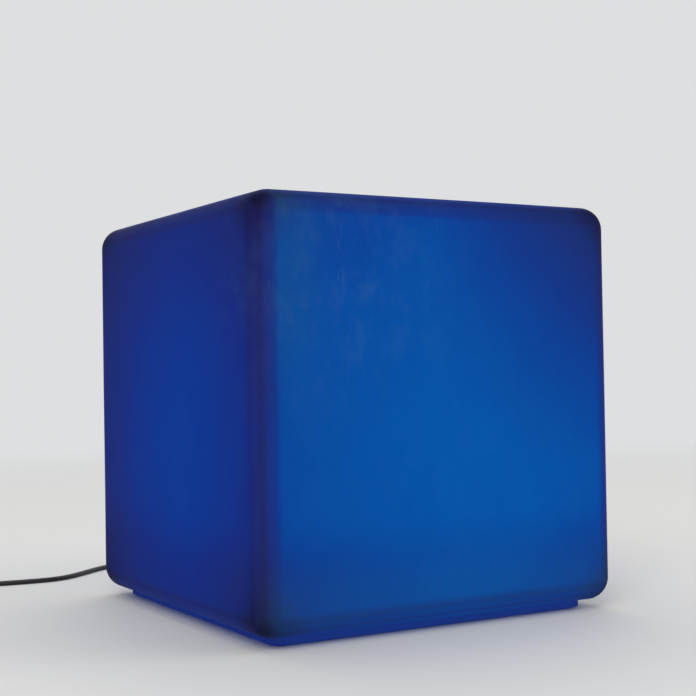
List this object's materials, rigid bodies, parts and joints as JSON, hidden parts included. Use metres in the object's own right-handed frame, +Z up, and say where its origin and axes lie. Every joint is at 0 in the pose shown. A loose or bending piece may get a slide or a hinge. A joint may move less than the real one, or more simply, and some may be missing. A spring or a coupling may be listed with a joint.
{
  "type": "led cube light",
  "caption": "Translucent cube light on an inset plinth, lit from a module in its base, with a corded plug-in adaptor; doubles as a seat or side table.",
  "frame": {"origin": "on the floor, under the middle of the cube; the rubber feet stand on z = 0", "axes": "+Z up; -Y out of the face that the picture shows wide on the right, -X out of the one on the left; the cord leaves the plinth towards +Y"},
  "size_m": [0.6158, 0.682, 0.404],
  "materials": {
    "shell": "translucent natural polyethylene, satin, lit blue from inside",
    "foot_rubber": "black rubber",
    "brass": "bright brass",
    "white_abs": "white moulded ABS",
    "seal_rubber": "black sponge rubber",
    "clear_silicone": "milky silicone",
    "screw_steel": "stainless steel",
    "aluminium": "plain sheet",
    "white_board": "white solder mask",
    "led": "lit blue",
    "dome": "milky polycarbonate",
    "green_board": "green solder mask",
    "chip_black": "moulded epoxy",
    "can": "sleeved can",
    "ferrite": "ferrite and copper",
    "terminal_green": "green polyamide",
    "connector_white": "natural polyamide",
    "wires": "thin insulated wires",
    "switch_black": "black plastic and tin",
    "button_grey": "grey moulded cap",
    "oring": "nitrile rubber",
    "spring_steel": "spring wire",
    "cord_black": "black flexible sheath",
    "red_core": "red insulation",
    "black_core": "black insulation",
    "tie_black": "woven hook and loop strap",
    "adaptor_black": "fine spark-eroded texture",
    "pin_nickel": "nickel plated brass"
  },
  "bodies": {
    "cube": {"cube_shell": "shell", "rubber_feet": "foot_rubber", "threaded_inserts": "brass", "module_base": "white_abs", "flange_seal": "seal_rubber", "flange_screws": "screw_steel", "heat_spreader": "aluminium", "led_board": "white_board", "leds": "led", "led_screws": "screw_steel", "diffuser_dome": "dome", "dome_seal": "clear_silicone", "dome_screws": "screw_steel", "control_board": "green_board", "board_screws": "screw_steel", "controller_chip": "chip_black", "drive_transistors": "chip_black", "filter_capacitor": "can", "choke": "ferrite", "terminal_block": "terminal_green", "terminal_screws": "screw_steel", "led_connector": "connector_white", "led_wires": "wires", "tact_switch": "switch_black", "button_spring": "spring_steel", "strain_relief": "cord_black", "cable_clamp": "white_abs", "clamp_screws": "screw_steel", "cord_tail": "cord_black", "positive_core": "red_core", "negative_core": "black_core", "power_cord": "cord_black", "cord_coil": "cord_black", "cord_tie": "tie_black", "cord_end": "cord_black", "adaptor_relief": "cord_black", "adaptor_case": "adaptor_black", "adaptor_cover": "adaptor_black", "plug_pins": "pin_nickel", "pin_sleeves": "adaptor_black", "adaptor_board": "green_board", "adaptor_transformer": "ferrite", "adaptor_capacitors": "can"},
    "button": {"power_button": "button_grey", "button_oring": "oring", "switch_plunger": "switch_black"}
  },
  "joints": [
    {"name": "power_button_press", "type": "slide", "parent": "cube", "child": "button", "axis": [0, 0, 1], "range_m": [0, 0.0013], "stiffness_N_per_m": 500, "springref_m": -0.002, "deforming": ["button_spring"]}
  ]
}
